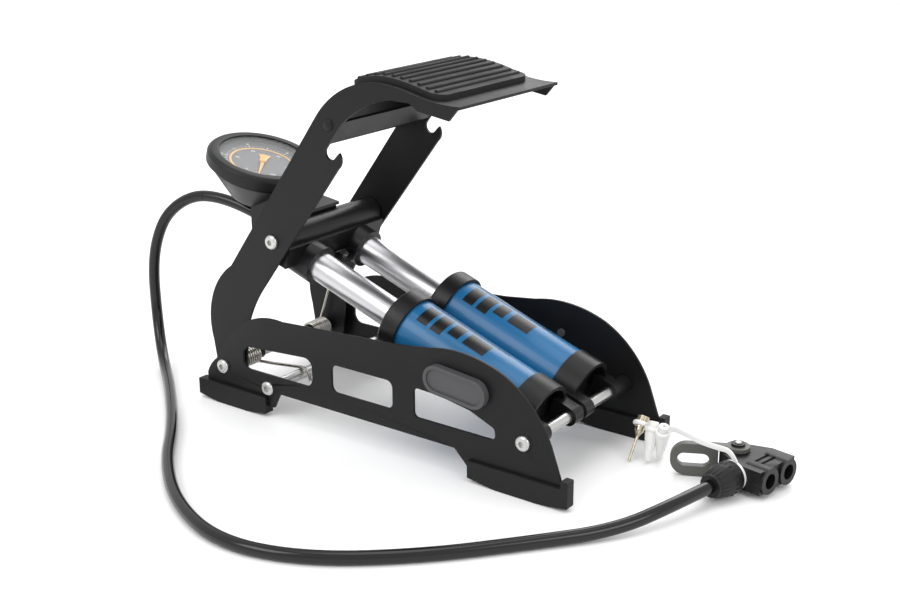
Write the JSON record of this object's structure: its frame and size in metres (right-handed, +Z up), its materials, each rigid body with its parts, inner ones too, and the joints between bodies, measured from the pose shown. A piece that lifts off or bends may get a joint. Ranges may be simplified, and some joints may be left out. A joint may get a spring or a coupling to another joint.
{
  "type": "foot pump",
  "caption": "Folding foot air pump: pressed steel base, sprung pedal, paired barrels, round gauge and a hose to a lever valve head.",
  "frame": {"origin": "bottom centre of the pump without its hose and what is on it, on the floor", "axes": "+X from the gauge end to the barrels' lower ends, +Y to the pump's right, +Z up"},
  "size_m": [0.5234, 0.298, 0.2598],
  "materials": {
    "black_steel": "satin black powder coat on pressed steel",
    "foot_plastic": "fine grained black plastic",
    "black_plastic": "moulded black plastic, slightly glossy",
    "gauge_plastic": "satin black plastic",
    "badge_plastic": "mid grey plastic",
    "zinc_steel": "bright zinc plated steel",
    "spring_steel": "drawn spring wire, zinc plated",
    "chrome_tube": "polished chrome",
    "blue_paint": "gloss blue paint",
    "pad_rubber": "ribbed dark grey rubber",
    "seal_rubber": "black seal rubber",
    "hose_rubber": "smooth glossy black hose",
    "dial_face": "dark grey printed dial",
    "clear_lens": "clear lens",
    "orange_plastic": "orange plastic",
    "brass": "plain brass",
    "nickel_brass": "nickel plated brass",
    "lever_plastic": "grey plastic",
    "white_plastic": "white plastic"
  },
  "bodies": {
    "base": {"side_plate_left": "black_steel", "side_plate_right": "black_steel", "foot_rear_left": "foot_plastic", "foot_rear_right": "foot_plastic", "foot_front_left": "foot_plastic", "foot_front_right": "foot_plastic", "badge_left": "badge_plastic", "badge_right": "badge_plastic", "rear_pivot_axle": "zinc_steel", "front_axle": "zinc_steel", "spring_anchor_rod": "zinc_steel", "frame_screws": "zinc_steel", "spring_left": "spring_steel", "spring_right": "spring_steel", "spring_sleeve_left": "black_plastic", "spring_sleeve_right": "black_plastic", "hose_lower": "hose_rubber", "hose_nut": "black_plastic", "valve_head_body": "black_plastic", "port_seals": "seal_rubber", "lever_pin": "black_plastic", "strap_ring": "white_plastic", "ball_needle": "nickel_brass", "cone_adaptors": "white_plastic", "adaptor_strap": "white_plastic"},
    "pedal": {"pedal_frame": "black_steel", "pedal_pad": "pad_rubber", "pedal_brace": "black_steel", "pivot_bush_left": "black_plastic", "pivot_bush_right": "black_plastic", "arm_screws": "zinc_steel"},
    "barrels": {"barrel_left": "blue_paint", "barrel_right": "blue_paint", "barrel_collar_left": "black_plastic", "barrel_collar_right": "black_plastic", "barrel_cap_left": "black_plastic", "barrel_cap_right": "black_plastic", "rod_wipers": "seal_rubber", "inlet_valves": "seal_rubber"},
    "head": {"tube_left": "chrome_tube", "tube_right": "chrome_tube", "piston_left": "black_plastic", "piston_right": "black_plastic", "cup_seal_left": "seal_rubber", "cup_seal_right": "seal_rubber", "check_valves": "seal_rubber", "head_block": "black_plastic", "middle_axle": "zinc_steel", "head_cover": "black_plastic", "cover_screw": "zinc_steel", "gauge_cup": "black_plastic", "gauge_bezel": "gauge_plastic", "gauge_lens": "clear_lens", "gauge_dial": "dial_face", "gauge_movement": "brass", "hose_upper": "hose_rubber", "hose_fitting": "black_plastic"},
    "needle": {"gauge_needle": "orange_plastic"},
    "lever": {"valve_lever": "lever_plastic"}
  },
  "joints": [
    {"name": "pedal_fold", "type": "hinge", "parent": "base", "child": "pedal", "pos_m": [-0.12472, 0, 0.0296], "axis": [0, 1, 0], "range_deg": [0, 45], "stiffness_Nm_per_rad": 1.6, "springref_deg": -51.57, "deforming": ["spring_left", "spring_right"]},
    {"name": "barrel_swing", "type": "hinge", "parent": "base", "child": "barrels", "pos_m": [0.14428, 0, 0.0383], "axis": [0, -1, 0], "range_deg": [0, 14.6]},
    {"name": "tube_slide", "type": "slide", "parent": "barrels", "child": "head", "axis": [0.9424, 0, -0.3344], "range_m": [0, 0.0745]},
    {"name": "gauge_reading", "type": "hinge", "parent": "head", "child": "needle", "pos_m": [-0.13776, 0, 0.17031], "axis": [-0.2924, 0, -0.9563], "range_deg": [0, 270], "stiffness_Nm_per_rad": 0.0005, "springref_deg": -17.19},
    {"name": "lever_turn", "type": "hinge", "parent": "base", "child": "lever", "pos_m": [0.24178, 0.044, 0.012], "axis": [0, 0, -1], "range_deg": [0, 90]}
  ],
  "couplings": [
    {"joint": "barrel_swing", "follows": "pedal_fold", "ratio": 0.3215},
    {"joint": "tube_slide", "follows": "pedal_fold", "m_per_rad": 0.094489}
  ]
}
